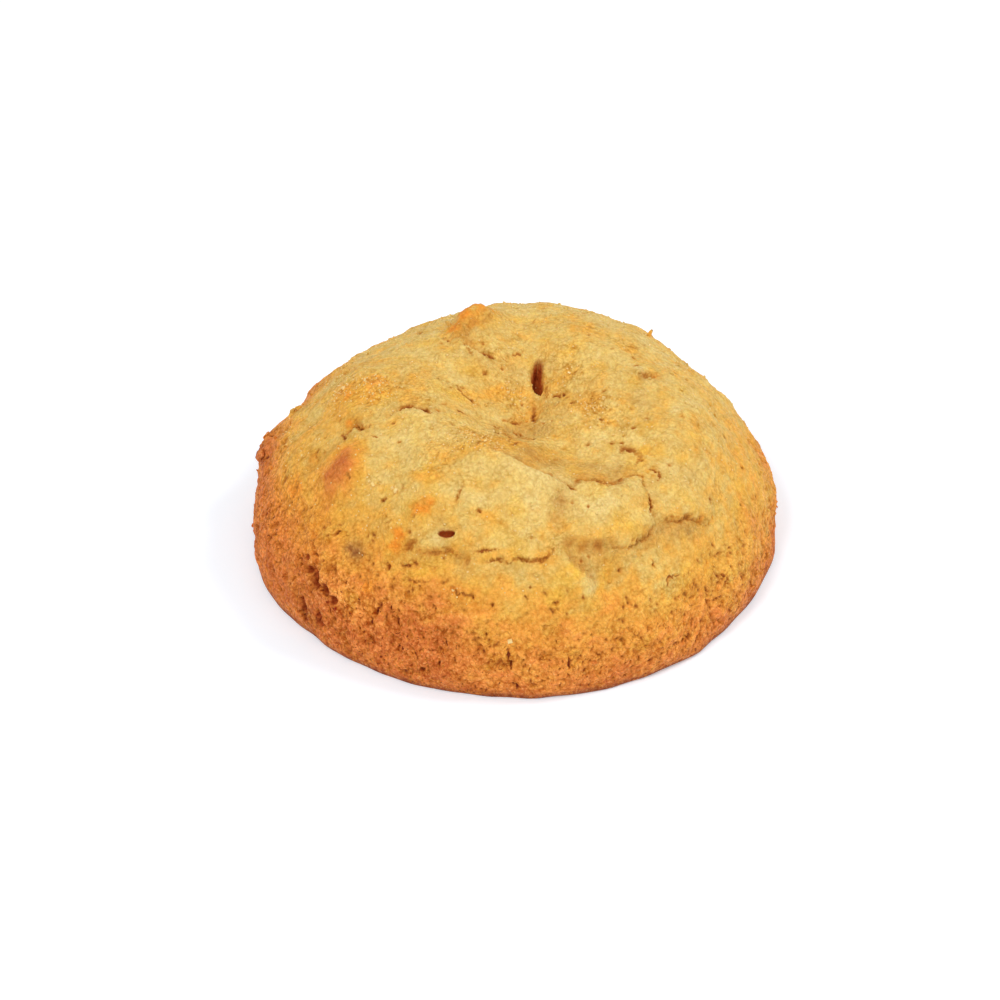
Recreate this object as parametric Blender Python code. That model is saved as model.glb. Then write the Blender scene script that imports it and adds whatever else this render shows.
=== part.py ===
"""A soft baked cookie: one puffed, domed piece of dough with a crumpled dent in its top.

Units are metres, +Z is up, and the origin is the middle of the flat sole that it was baked on.
Places on the cookie are (right, back) on a round map of its skin. The map's middle is the top of the
dome, its circle of radius 1 is the widest ring, and the circle of SOLE_REACH is the edge of the sole.
"""

import math

import bpy
import numpy as np

MM = 0.001

# The plain dome. EDGE_SQUARENESS under 1 makes the roll into the sole tighter than a round one.
BULGE_RADIUS = 39.3 * MM
BULGE_HEIGHT = 3.4 * MM
SOLE_RADIUS = 38.6 * MM
DOME_HEIGHT = 30.8 * MM
EDGE_SQUARENESS = 0.7
SOLE_REACH = 1.1

# The solid's fineness: squares across the map, and how much smaller those in the middle are
SQUARES_ACROSS = 68
MIDDLE_SHARE = 0.72
SHARP_ANGLE = math.radians(60)

CRUST_COLOUR = (0.76, 0.42, 0.12, 1.0)
CRUST_ROUGHNESS = 0.75

# The outline seen from above: lobes as (count, share of the radius, turn in degrees)
OUTLINE_LOBES = [
    (2, 0.002, 145),
    (4, 0.006, 20),
]

# Broad forms as (place, spread, height): rounded masses of dough, and hollows where it sank
MASSES = [
    ((0.01, -0.01), 12.5 * MM, -7.5 * MM),
    ((0.19, -0.22), 8.5 * MM, -3.2 * MM),
    ((-0.18, -0.40), 9.0 * MM, 1.6 * MM),
    ((0.23, -0.45), 4.5 * MM, 1.6 * MM),
    ((0.42, -0.52), 6.0 * MM, -1.2 * MM),
    ((0.29, -0.62), 3.5 * MM, -1.6 * MM),
    ((-0.17, -0.54), 3.0 * MM, -0.8 * MM),
    ((-0.44, -0.24), 5.0 * MM, 1.2 * MM),
    ((-0.50, 0.36), 9.0 * MM, -1.1 * MM),
    ((-0.25, 0.46), 9.0 * MM, -1.3 * MM),
    ((0.26, 0.45), 8.0 * MM, 0.9 * MM),
    ((0.55, 0.34), 9.0 * MM, -1.1 * MM),
    ((0.78, 0.14), 11.0 * MM, -0.7 * MM),
    ((-0.97, -0.08), 6.0 * MM, -0.9 * MM),
    ((-0.64, 0.26), 5.0 * MM, -0.8 * MM),
    ((-0.79, 0.19), 3.5 * MM, 0.9 * MM),
    ((-0.08, 0.30), 3.4 * MM, 1.5 * MM),
    ((-0.36, -0.04), 7.0 * MM, 0.8 * MM),
    ((0.46, -0.14), 7.0 * MM, 0.9 * MM),
]

# Folds and cracks as (path, width, depth, swell). Swell raises the dough on the right of the path.
FOLDS = [
    # Lip of the dent, where the front mass swells over it
    ([(-0.11, -0.20), (-0.05, -0.26), (0.04, -0.32), (0.13, -0.38)], 1.0 * MM, 0.8 * MM, 1.9 * MM),
    # Round the pale lump: above it, right of it, below it and left of it
    ([(0.13, -0.38), (0.21, -0.35), (0.28, -0.34), (0.34, -0.31)], 1.0 * MM, 1.1 * MM, 1.2 * MM),
    ([(0.34, -0.31), (0.33, -0.35), (0.37, -0.39), (0.38, -0.43)], 1.0 * MM, 1.1 * MM, 0.7 * MM),
    ([(0.38, -0.43), (0.34, -0.49), (0.27, -0.54), (0.20, -0.57), (0.15, -0.55)], 1.4 * MM, 1.2 * MM, 1.4 * MM),
    ([(0.13, -0.38), (0.11, -0.44), (0.13, -0.51), (0.15, -0.55)], 1.6 * MM, 0.9 * MM, 0.0),
    # Down the middle of the dent
    ([(0.06, 0.09), (0.05, 0.0), (0.03, -0.07), (-0.02, -0.16)], 2.2 * MM, 1.6 * MM, 0.0),
    ([(0.03, -0.05), (0.12, -0.17), (0.20, -0.27)], 3.0 * MM, 1.0 * MM, 0.0),
    # Right of the lump, and the ridge below it
    ([(0.38, -0.43), (0.45, -0.40), (0.54, -0.39), (0.62, -0.35)], 1.2 * MM, 0.9 * MM, -0.7 * MM),
    ([(0.17, -0.59), (0.21, -0.63), (0.25, -0.66)], 1.1 * MM, -0.8 * MM, 0.0),
    # Across the front
    ([(-0.07, -0.60), (0.04, -0.60), (0.12, -0.55), (0.15, -0.53)], 1.0 * MM, 1.0 * MM, -0.7 * MM),
    ([(-0.21, -0.63), (-0.11, -0.66)], 1.1 * MM, 0.7 * MM, -0.4 * MM),
    # Left shoulder, and the chain of cracks down the left side
    ([(-0.56, -0.18), (-0.46, -0.18), (-0.43, -0.13), (-0.35, -0.13)], 1.0 * MM, 0.8 * MM, 0.4 * MM),
    ([(-0.35, -0.13), (-0.27, -0.10), (-0.23, -0.09), (-0.15, -0.09)], 0.9 * MM, 0.6 * MM, 0.4 * MM),
    ([(-0.60, -0.37), (-0.63, -0.47), (-0.62, -0.60)], 1.0 * MM, 0.8 * MM, -0.5 * MM),
    # From the back rim into the dent
    ([(-0.12, 0.26), (-0.10, 0.18), (-0.08, 0.15), (-0.04, 0.14)], 1.0 * MM, 0.8 * MM, 0.6 * MM),
    # Right of the dent
    ([(0.33, 0.06), (0.38, 0.06), (0.43, 0.11)], 1.0 * MM, 0.8 * MM, -0.4 * MM),
    ([(0.27, -0.22), (0.30, -0.22), (0.32, -0.25)], 0.9 * MM, 0.6 * MM, 0.0),
]
FOLD_SPREAD = 4.0 * MM

# Deep openings as (path, width, depth): the slit in the dent, the slot in the front, a pit and a crag
OPENINGS = [
    ([(0.07, 0.15), (0.06, 0.11), (0.065, 0.075)], 0.95 * MM, 4.0 * MM),
    ([(-0.19, -0.52), (-0.16, -0.52)], 1.0 * MM, 2.2 * MM),
    ([(-0.63, -0.54)], 1.1 * MM, 1.3 * MM),
    ([(0.36, -0.30)], 1.1 * MM, 1.2 * MM),
]

# Unevenness of the whole crust as (length, height, seed)
RIPPLES = [
    (13.0 * MM, 0.30 * MM, 3),
    (5.5 * MM, 0.14 * MM, 8),
]
RIPPLE_WAVES = 16
RIPPLE_SHORTEST = 0.7
RIPPLE_LONGEST = 1.4


def dome(right, back):
    """The point of the plain dome at each place of the map, and the skin's outward direction there."""
    reach = np.hypot(right, back)
    turn = np.arctan2(back, right)
    over = np.clip(reach, 0, 1) * math.pi / 2
    under = np.clip((reach - 1) / (SOLE_REACH - 1), 0, 1) * math.pi / 2
    rise = DOME_HEIGHT - BULGE_HEIGHT
    overhang = BULGE_RADIUS - SOLE_RADIUS

    above = reach <= 1
    under_radius = SOLE_RADIUS + overhang * np.cos(under) ** EDGE_SQUARENESS
    under_height = BULGE_HEIGHT * (1 - np.sin(under) ** (1 / EDGE_SQUARENESS))
    radius = np.where(above, BULGE_RADIUS * np.sin(over), under_radius)
    height = np.where(above, BULGE_HEIGHT + rise * np.cos(over), under_height)
    outward = np.where(above, rise * np.sin(over), np.cos(under))
    upward = np.where(above, BULGE_RADIUS * np.cos(over), -np.sin(under))
    length = np.hypot(outward, upward)

    for count, share, start in OUTLINE_LOBES:
        radius = radius * (1 + share * np.cos(count * (turn - math.radians(start))))
    points = np.stack([radius * np.cos(turn), radius * np.sin(turn), height], axis=-1)
    normals = np.stack([outward * np.cos(turn), outward * np.sin(turn), upward], axis=-1)
    return points, normals / length[..., None]


def near_path(points, normals, path):
    """Each point's distance from a path, its share of the way along it, and 1 on the path's right or -1 on its left."""
    stops, _ = dome(*np.array(path, dtype=float).T)
    if len(stops) == 1:
        return np.linalg.norm(points - stops[0], axis=1), np.full(len(points), 0.5), np.zeros(len(points))
    lengths = np.linalg.norm(np.diff(stops, axis=0), axis=1)
    distance = np.full(len(points), np.inf)
    share = np.zeros(len(points))
    side = np.zeros(len(points))
    for number, (start, end) in enumerate(zip(stops, stops[1:])):
        along = end - start
        part = np.clip((points - start) @ along / (along @ along), 0, 1)
        gap = points - start - part[:, None] * along
        gap_length = np.linalg.norm(gap, axis=1)
        nearer = gap_length < distance
        distance = np.where(nearer, gap_length, distance)
        gone = lengths[:number].sum() + part * lengths[number]
        share = np.where(nearer, gone / lengths.sum(), share)
        facing = (np.cross(gap, along) * normals).sum(axis=1)
        side = np.where(nearer, np.sign(facing), side)
    return distance, share, side


def ripple(points, length, seed):
    """Smooth random unevenness of about this length, between about -1 and 1."""
    random = np.random.default_rng(seed)
    directions = random.normal(size=(RIPPLE_WAVES, 3))
    directions /= np.linalg.norm(directions, axis=1)[:, None]
    lengths = length * random.uniform(RIPPLE_SHORTEST, RIPPLE_LONGEST, RIPPLE_WAVES)
    turns = random.uniform(0, 2 * math.pi, RIPPLE_WAVES)
    waves = np.sin(points @ directions.T * 2 * math.pi / lengths + turns)
    return waves.sum(axis=1) / math.sqrt(RIPPLE_WAVES)


def masses_lift(points):
    lift = np.zeros(len(points))
    for place, spread, height in MASSES:
        middle, _ = dome(*np.array(place))
        distance = np.linalg.norm(points - middle, axis=1)
        lift += height * np.exp(-((distance / spread) ** 2))
    return lift


def folds_lift(points, normals):
    lift = np.zeros(len(points))
    for path, width, depth, swell in FOLDS:
        distance, share, side = near_path(points, normals, path)
        open_part = np.sqrt(4 * share * (1 - share))
        lift -= depth * open_part * np.exp(-((distance / width) ** 2))
        rise = 0.5 + 0.5 * np.tanh(side * distance / width)
        swollen = rise if swell > 0 else 1 - rise
        lift += abs(swell) * open_part * swollen * np.exp(-((distance / FOLD_SPREAD) ** 2))
    return lift


def openings_lift(points, normals):
    lift = np.zeros(len(points))
    for path, width, depth in OPENINGS:
        distance, _, _ = near_path(points, normals, path)
        lift -= depth * np.exp(-((distance / width) ** 2))
    return lift


def skin(right, back):
    """The cookie's surface point at each place of the map."""
    points, normals = dome(right, back)
    lift = masses_lift(points) + folds_lift(points, normals) + openings_lift(points, normals)
    for length, height, seed in RIPPLES:
        lift += height * ripple(points, length, seed)
    lift *= np.clip(points[:, 2] / BULGE_HEIGHT, 0, 1)
    return points + normals * lift[:, None]


def map_grid(squares, middle_share):
    """An even square grid pressed into a round map, as (right, back) of each of its points, row by row."""
    steps = np.linspace(-1, 1, squares + 1)
    across, along = (axis.ravel() for axis in np.meshgrid(steps, steps))
    wide = np.abs(across) > np.abs(along)
    ring = np.where(wide, across, along)
    safe = np.where(ring == 0, 1, ring)
    turn = np.where(wide, along / safe, 2 - across / safe) * math.pi / 4
    reach = SOLE_REACH * ring * (middle_share + (1 - middle_share) * np.abs(ring))
    return reach * np.cos(turn), reach * np.sin(turn)


def grid_triangles(points, squares):
    """Each square of the grid cut along its shorter diagonal."""
    index = np.arange((squares + 1) ** 2).reshape(squares + 1, squares + 1)
    a, b, c, d = (part.ravel() for part in (index[:-1, :-1], index[:-1, 1:], index[1:, 1:], index[1:, :-1]))
    first = np.linalg.norm(points[a] - points[c], axis=1)
    second = np.linalg.norm(points[b] - points[d], axis=1)
    cut = (first < second)[:, None]
    one = np.where(cut, np.stack([a, b, c], axis=1), np.stack([a, b, d], axis=1))
    two = np.where(cut, np.stack([a, c, d], axis=1), np.stack([b, c, d], axis=1))
    return np.concatenate([one, two])


def sole_ring(squares):
    """The grid's outer points in order, seen from below."""
    index = np.arange((squares + 1) ** 2).reshape(squares + 1, squares + 1)
    around = np.concatenate([index[0, :-1], index[:-1, -1], index[-1, :0:-1], index[:0:-1, 0]])
    return around[::-1]


def crust():
    """The golden baked crust."""
    material = bpy.data.materials.new("golden_crust")
    material.use_nodes = True
    shader = material.node_tree.nodes["Principled BSDF"]
    shader.inputs["Base Color"].default_value = CRUST_COLOUR
    shader.inputs["Roughness"].default_value = CRUST_ROUGHNESS
    shader.inputs["Metallic"].default_value = 0.0
    return material


def build():
    for old in list(bpy.data.objects):
        bpy.data.objects.remove(old)
    right, back = map_grid(SQUARES_ACROSS, MIDDLE_SHARE)
    points = skin(right, back)
    faces = [list(face) for face in grid_triangles(points, SQUARES_ACROSS)]
    faces.append(list(sole_ring(SQUARES_ACROSS)))
    mesh = bpy.data.meshes.new("cookie")
    mesh.from_pydata([tuple(point) for point in points], [], faces)
    mesh.materials.append(crust())
    mesh.shade_smooth()
    mesh.set_sharp_from_angle(angle=SHARP_ANGLE)
    cookie = bpy.data.objects.new("cookie", mesh)
    bpy.context.scene.collection.objects.link(cookie)


build()
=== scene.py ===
"""A soft baked cookie as it looks in life: a wrinkled, unevenly browned crust with sugar and crumbs.

Lengths are in metres and +Z is up. Places on the cookie are (right, back) on a round map of its skin. The
map's middle is the top of the dome, its circle of radius 1 is the widest ring, and the circle of
SOLE_REACH is the edge of the flat sole. The lists of places and paths give them in hundredths of that
radius, and widths and heights in millimetres.
"""

import math

import bmesh
import bpy
import numpy as np
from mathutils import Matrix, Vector
from mathutils.kdtree import KDTree


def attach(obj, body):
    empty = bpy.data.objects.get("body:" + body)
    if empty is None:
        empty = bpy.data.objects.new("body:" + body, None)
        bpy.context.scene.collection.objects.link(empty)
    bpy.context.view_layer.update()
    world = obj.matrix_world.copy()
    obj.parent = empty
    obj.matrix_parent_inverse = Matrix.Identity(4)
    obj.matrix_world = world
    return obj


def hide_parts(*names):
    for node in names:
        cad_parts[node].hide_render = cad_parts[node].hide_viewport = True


MM = 0.001
HUNDREDTH = 0.01

# The plain dome. EDGE_SQUARENESS under 1 makes the roll into the sole tighter than a round one.
BULGE_RADIUS = 39.3 * MM
BULGE_HEIGHT = 3.4 * MM
SOLE_RADIUS = 38.6 * MM
DOME_HEIGHT = 30.8 * MM
EDGE_SQUARENESS = 0.7
SOLE_REACH = 1.1

# The skin's mesh: an even grid of squares, with sides halved within each reach of a line or opening
SQUARES_ACROSS = 250
EVEN_POINTS = (SQUARES_ACROSS + 1) ** 2
FINER_REACHES = (1.0 * MM, 0.55 * MM)
NARROW_FOLD = 0.7 * MM

# The outline seen from above: lobes as (count, share of the radius, turn in degrees)
OUTLINE_LOBES = [
    (2, 0.002, 145),
    (4, 0.006, 20),
]

# Broad forms as (place, spread, height): rounded masses of dough, and hollows where it sank
MASSES = [
    ((1, -1), 12.5, -7.8), ((19, -22), 8.5, -3.2), ((0, -13), 3.8, -1.1), ((9, -27), 3.4, -1.0),
    ((5.5, 4), 3.0, -0.6), ((-18, -40), 9.0, 1.6), ((23, -45), 4.5, 1.6), ((42, -52), 6.0, -1.2),
    ((29, -62), 3.5, -1.6), ((-17, -54), 3.0, -0.8), ((-43, -26), 4.5, 1.4), ((-81, 12), 1.6, 0.7),
    ((-80, 1), 1.5, 0.6), ((-11, 27), 2.4, 0.7), ((-50, 36), 9.0, -1.1), ((-25, 46), 9.0, -1.3),
    ((26, 45), 8.0, 0.9), ((55, 34), 9.0, -1.1), ((78, 14), 11.0, -0.7), ((-97, -8), 6.0, -0.9),
    ((-64, 26), 5.0, -0.8), ((-79, 19), 3.5, 0.9), ((-8, 30), 3.4, 1.5), ((-36, -4), 7.0, 0.8),
    ((46, -14), 7.0, 0.9),
]

# Folds as (path, width, depth, swell, browning and painted shade in the fold). Swell raises the dough on the
# right of the path, or on its left where it is below 0. A depth below 0 is a ridge.
FOLDS = [
    # Lip of the dent, where the front mass swells over it
    ([(-11, -20), (-4.5, -29), (3.5, -33), (10.5, -36), (14, -38)], 0.7, 1.2, 2.7, 0.15),
    # Round the pale lump: above it, right of it, below it and left of it
    ([(14, -37.5), (16.5, -34.5), (20, -34.5), (25, -35), (28, -32), (32, -30.5)], 0.42, 0.9, 1.2, 0.6),
    ([(32.5, -30.5), (33.5, -34), (35, -37), (36, -41), (38.5, -43.5)], 0.3, 0.45, 0.6, 0.35),
    ([(38.5, -44), (35, -49.5), (30, -53.5), (24, -54.5)], 0.34, 0.6, 0.9, 0.45),
    ([(27, -53), (24, -53), (19.5, -55.2), (15, -54.5), (11.5, -53)], 0.75, 0.7, 1.4, 0.5),
    ([(12.5, -40), (10.5, -45), (10.5, -50), (12, -52.5)], 1.5, 0.7, 0.0, 0.2),
    # Down the middle of the dent
    ([(5.5, 20), (5.5, 9), (5, 0), (3, -7), (0, -16)], 2.8, 1.5, 0.0, 0.0),
    ([(3, -5), (12, -17), (20, -27)], 3.0, 1.0, 0.0, 0.0),
    # Right of the lump, and the edge of the front mass over the hollow below it
    ([(39, -43.5), (43, -42), (48, -39.5), (53, -39), (56.5, -39.5)], 0.38, 0.7, -0.9, 0.5),
    ([(11.5, -55), (16.5, -60), (21, -63.5), (24, -65.5)], 0.45, 0.6, 1.5, 0.2),
    # Across the front
    ([(-9, -60.5), (-3.5, -59.7), (-2, -61), (0, -59.7), (6.5, -59.7), (9, -58.3),
     (11, -55)], 0.25, 0.45, -0.5, 0.55),
    ([(-27.5, -55.5), (-22.5, -57), (-18, -56), (-14, -59), (-12, -60)], 0.4, 0.6, -0.6, 0.42),
    ([(-30, -56), (-28.5, -53.5), (-26.5, -52)], 0.65, 0.7, 0.0, 0.48),
    # Left shoulder, and the chain of cracks down the left side
    ([(-60, -21), (-55.5, -20), (-48, -17.5), (-43, -16)], 0.8, 0.7, 0.3, 0.2),
    ([(-43, -15), (-40, -12), (-38.5, -14.5), (-36, -14)], 0.6, 0.9, 0.4, 0.75),
    ([(-36, -14), (-28, -10), (-24.5, -10), (-21, -12), (-13, -9)], 0.6, 0.4, 0.4, 0.15),
    ([(-59.5, -42.5), (-59, -49), (-62, -50), (-64, -53), (-61, -60), (-60, -64)], 0.6, 0.7, -0.3, 0.42),
    ([(-73.5, -55), (-75, -58.5), (-74.5, -63)], 0.8, 0.6, 0.0, 0.5),
    # From the back rim into the dent, and the flap on the rim
    ([(-13, 24), (-11.5, 18), (-9, 15.5), (-5, 14.5)], 0.7, 0.6, 0.5, 0.3),
    ([(-15.5, 22.5), (-11, 27), (-6, 30)], 1.7, -0.9, 0.0, 0.0),
    ([(-16.5, 22.5), (-16, 20.5), (-13.5, 21), (-10, 23.5), (-5, 27)], 0.5, 0.5, -0.5, 0.35),
    # Right of the dent
    ([(31, 5), (33.5, 7), (37.5, 9)], 0.5, 0.9, -0.4, 0.6),
    ([(27.5, -21.5), (29, -20.5), (31, -21.5), (33, -24)], 0.5, 0.7, 0.0, 0.7),
]
FOLD_SPREAD = 4.0 * MM
STEP_WIDTH = 0.65 * MM

# How unevenly folds and cracks open along their way, as (length, share)
RAGGED = [
    (2.6 * MM, 0.35),
    (1.4 * MM, 0.30),
]
RAGGED_RANGE = (0.35, 1.4)

# Beside a fold, where the dough is not swollen, painted shade darkens it, most where the swell is this high
VALLEY_WIDTH = 1.7 * MM
VALLEY_SWELL = 1.3 * MM
VALLEY_SHADE = 0.8

# Deep openings with steep walls, as (path, width, depth): the slit in the dent, the front's slot, and pits
OPENINGS = [
    ([(6.4, 16.5), (6, 12), (7.2, 7.5)], 0.74, 3.0),
    ([(-20, -51.8), (-18, -52.1), (-15.8, -51.8)], 0.42, 1.1), ([(-64.5, -50)], 0.48, 1.0),
    ([(-62.6, -53)], 0.88, 2.1), ([(-63.6, -54.8)], 0.75, 1.8), ([(-60, -58.5)], 0.7, 1.5),
    ([(-59, -63)], 0.6, 1.3), ([(-74.5, -57.5)], 0.58, 1.3), ([(-76, -60)], 0.62, 1.4),
    ([(-70.5, -67.5)], 0.6, 1.2), ([(-69, -65.5)], 0.48, 0.9), ([(-78.5, -63)], 0.52, 1.1),
    ([(-63, -46.5)], 0.38, 0.8),
]
OPENING_STEEPNESS = 3
# How dark the openings are painted inside, with browning and painted shade
OPENING_BROWNING_AND_SHADE = 3
OPENING_ENDS = 0.15

# Unevenness of the whole crust as (length, height, seed)
RIPPLES = [
    (13.0 * MM, 0.30 * MM, 3),
    (5.5 * MM, 0.14 * MM, 8),
]
RIPPLE_WAVES = 16
RIPPLE_LENGTHS = (0.7, 1.4)

# Hairline cracks as (path, width, browning and painted shade)
CRACKS = [
    # In and round the dent
    ([(5.6, 4.5), (5.2, 1), (5.5, -2.5)], 0.52, 1.0), ([(8.5, 8.5), (9, 5.5)], 0.34, 0.7),
    ([(10.5, 4.5), (12, 3)], 0.32, 0.8), ([(12.5, 3.5), (13.5, 2)], 0.32, 1.0),
    ([(-3.5, -5.5), (-1, -4.5), (1.5, -3.5)], 0.4, 0.7), ([(0, -8.5), (1.5, -10), (3.5, -9.5)], 0.45, 0.8),
    ([(-3, -12), (-1, -14), (-1.2, -16.5)], 0.45, 0.9), ([(2, -15), (4.5, -16.5), (6, -15.5)], 0.4, 0.7),
    ([(7.5, -5), (10, -6)], 0.4, 0.6), ([(-6, -9), (-4.5, -11)], 0.4, 0.7),
    ([(-15, 3), (-13, 0), (-10, -2)], 0.32, 0.6), ([(-1.5, -21.5), (-1, -16.5)], 0.34, 0.7),
    ([(-1.5, -23.5), (-0.5, -23), (1, -21.5)], 0.32, 0.9),
    ([(-3.5, -29.5), (-2, -30.5), (-0.5, -31)], 0.36, 0.7), ([(-12.5, 0), (-11.5, -1.5)], 0.3, 0.9),
    ([(-13, 17.5), (-11.5, 15.5), (-11, 13.5)], 0.32, 0.6), ([(-9, 16), (-7, 15.5), (-5.5, 14.5)], 0.34, 0.9),
    ([(-3.5, 15), (-2, 14.5)], 0.3, 0.7), ([(-0.5, 16), (1.5, 17.5)], 0.34, 0.8),
    ([(5.5, 32.5), (4.5, 28)], 0.3, 0.35),
    # Round the lump
    ([(8.5, -33.5), (10.5, -35.5), (12.5, -36.5), (14.5, -38)], 0.42, 1.0),
    ([(20, -35.5), (23.5, -36)], 0.45, 0.7), ([(32.5, -23.5), (31, -27)], 0.34, 0.5),
    ([(34.5, -28), (36, -28), (37.5, -29), (37.5, -31)], 0.36, 0.85), ([(30, -31), (33, -30.5)], 0.32, 0.7),
    ([(35, -36.5), (36, -39), (35.5, -41.5)], 0.32, 0.7), ([(38.5, -55), (39.5, -57)], 0.32, 0.5),
    ([(45.5, -61.5), (45.5, -59), (46.5, -58), (49, -57)], 0.32, 0.7),
    ([(40.5, -66.5), (41.5, -67.5)], 0.32, 0.7),
    # Right of the dent
    ([(29.5, 9.5), (31.5, 10.5)], 0.34, 0.6), ([(42, -5.5), (42.5, -10)], 0.3, 0.4),
    # Left shoulder
    ([(-28.5, -10), (-26, -9), (-24.5, -10.5)], 0.55, 0.9),
    ([(-24, -10.5), (-22.2, -10.8), (-21, -13)], 0.6, 1.0),
    ([(-15, -8), (-13.5, -8.5), (-13, -9)], 0.34, 0.9), ([(-44, -13.5), (-43, -16.5)], 0.42, 0.8),
    ([(-41, -12.5), (-39.5, -12), (-38.5, -14.5)], 0.42, 0.9), ([(-36, -18.5), (-34, -19)], 0.32, 0.6),
    ([(-52, -15), (-53, -17)], 0.42, 0.7), ([(-42, -29), (-42, -30.5)], 0.34, 0.8),
    # Across the front
    ([(-0.5, -59.7), (3, -59.7)], 0.45, 0.55), ([(-8.5, -60.4), (-5.5, -60), (-3, -60.2)], 0.42, 0.5),
    ([(7, -59.6), (9.5, -57.8)], 0.4, 0.5), ([(-10.5, -57.5), (-8, -57.5), (-5, -57.3)], 0.34, 0.8),
    ([(-31.5, -59), (-30.5, -59), (-29, -59.5)], 0.42, 0.9),
    ([(-32.5, -61.5), (-29.5, -64), (-24.5, -65)], 0.34, 0.5),
    ([(-18, -67.5), (-16.5, -69), (-12, -70)], 0.34, 0.6), ([(-25, -71.5), (-24, -73.5)], 0.34, 0.7),
    ([(-36, -72.5), (-31.5, -73.5), (-27, -76)], 0.34, 0.5),
    ([(-12.5, -40), (-14, -42), (-15, -44)], 0.4, 0.55),
    # Left side
    ([(-59.5, -42.5), (-59.5, -45)], 0.36, 0.8), ([(-60, -46.5), (-59, -49)], 0.4, 0.9),
    ([(-67, -44), (-66.5, -47.5)], 0.36, 0.8), ([(-61.5, -49.5), (-63.5, -51)], 0.42, 1.0),
    ([(-79, -61), (-79, -64)], 0.45, 1.0), ([(-70.5, -65), (-71, -67), (-70.5, -68.5)], 0.42, 1.0),
    ([(-62.5, -65), (-63, -67)], 0.42, 0.9), ([(-54.5, -68.5), (-54, -70)], 0.34, 0.9),
    ([(-43, -69.5), (-44.5, -71.5)], 0.36, 1.0), ([(-40, -82), (-40.5, -85)], 0.36, 1.0),
    ([(-35, -86.5), (-34, -89)], 0.36, 0.9), ([(-23, -82.5), (-22.5, -85.5)], 0.34, 0.9),
    ([(-26, -90), (-27, -92.5)], 0.36, 1.0), ([(-51, -79), (-49.5, -81)], 0.4, 1.0),
    ([(-46, -72.5), (-47.5, -74.5)], 0.34, 0.9), ([(-67.5, -55.5), (-68, -58)], 0.36, 0.8),
    ([(-80, 6.5), (-77.5, 4.5)], 0.5, 0.9), ([(-79, -2), (-77, -4)], 0.45, 0.8),
    ([(-76.5, 15.5), (-74.5, 13)], 0.45, 0.7), ([(-39, -70), (-38.5, -71.5)], 0.4, 0.9),
    ([(-38, -74), (-37.5, -77.5)], 0.36, 1.0), ([(-50.5, -43), (-49, -43.5)], 0.34, 0.9),
    ([(-53, -39), (-51, -40)], 0.34, 0.5), ([(-61.5, -21), (-63, -24)], 0.45, 0.45),
    # Low on the front and right
    ([(-2.5, -88), (-1.5, -95)], 0.36, 0.9), ([(0, -100), (1, -104)], 0.45, 1.0),
    ([(17, -88.5), (18, -93)], 0.36, 1.0), ([(61, -69), (60.5, -77.5)], 0.34, 0.8),
    ([(69.5, -50), (68.5, -56)], 0.32, 0.5),
]
CRACK_NARROWING = 0.62
CRACK_DEEPNESS = 1.9
# How dark cracks are painted, with browning and painted shade
CRACK_BROWNING_AND_SHADE = 1.35
CRACK_ENDS = 0.55

# Small holes as places, darkened inside with painted shade
HOLES = [
    (-76.5, -31), (-53, -75), (-51.5, -59.5), (-34, -39), (-9, -46.5), (-6.5, -73),
    (11.5, -72), (7, -60), (1.5, -7.5), (-8, 10), (15, -1),
    (26, -18), (30.5, 15.5), (-53, -77), (-12, -70.5), (-36, -58.5), (-78.5, -62),
]
HOLE_RADIUS = 0.34 * MM
HOLE_DEPTH = 0.6 * MM

# How far folds and cracks stray from their paths, as (size, length)
WOBBLES = [
    (0.13 * MM, 2.2 * MM),
    (0.10 * MM, 0.8 * MM),
    (0.06 * MM, 0.4 * MM),
]

# Where the rough crust of the sides lies: low down, and higher on the left, turned a little to the front
LOW_HEIGHTS = (3 * MM, 18 * MM)
LEFT_REACH = (8 * MM, 34 * MM)
LEFT_TURN = 0.25
LEFT_PORES = 0.6
LEFT_HEIGHTS = (14 * MM, 24 * MM)

# Furrows: a wandering net of shallow lines, as (length, width share, depth, seed, seed of its patches)
FURROWS = [
    (6.0 * MM, 0.16, 0.10 * MM, 21, 71),
    (3.0 * MM, 0.16, 0.07 * MM, 22, 72),
]
FURROW_PATCHES = (9 * MM, -0.3, 1.0)

# Lumps of the dough that show all over, as (count, height, seed)
LUMPS = [
    (700, 0.16 * MM, 71),
    (3200, 0.09 * MM, 72),
]

# Grain of the crust as (length, height on the top, height on the sides, seed)
GRAIN = [
    (2.6 * MM, 0.050 * MM, 0.050 * MM, 31),
    (1.3 * MM, 0.040 * MM, 0.050 * MM, 32),
    (0.8 * MM, 0.022 * MM, 0.030 * MM, 33),
]
ROUGHNESS = 0.016 * MM

# Crackle of the sides: broken cracks between small cells. Patches are (length, low, high, seed).
CRACKLE_CELLS = 9000
CRACKLE_WIDTH = 0.14 * MM
CRACKLE_DEPTH = 0.30 * MM
CRACKLE_DOME = 0.10 * MM
CRACKLE_ON_TOP = 0.10
# How dark the crackle is painted, with browning and painted shade
CRACKLE_BROWNING_AND_SHADE = 0.8
CRACKLE_PATCHES = [
    (6.0 * MM, -1.2, 0.8, 61),
    (1.7 * MM, -0.1, 0.8, 62),
]

# Pores, as (count, smallest radius, largest radius, depth for its radius, longest for its radius)
PORES = [
    (1500, 0.16 * MM, 0.24 * MM, 1.5, 2.4),
    (280, 0.24 * MM, 0.36 * MM, 1.5, 2.2),
]
PORE_REACH = 2.2
PORE_PATCHES = (7.0 * MM, -0.8, 1.0, 16)
PORES_BETWEEN_PATCHES = 0.2
PORES_ON_TOP = 0.04
PORES_ABOVE = 0.6 * MM
PORE_UPRIGHTNESS = 1.2
# How dark each pore is painted inside, as painted shade
PORE_SHADES = (0.35, 1.0)

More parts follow.
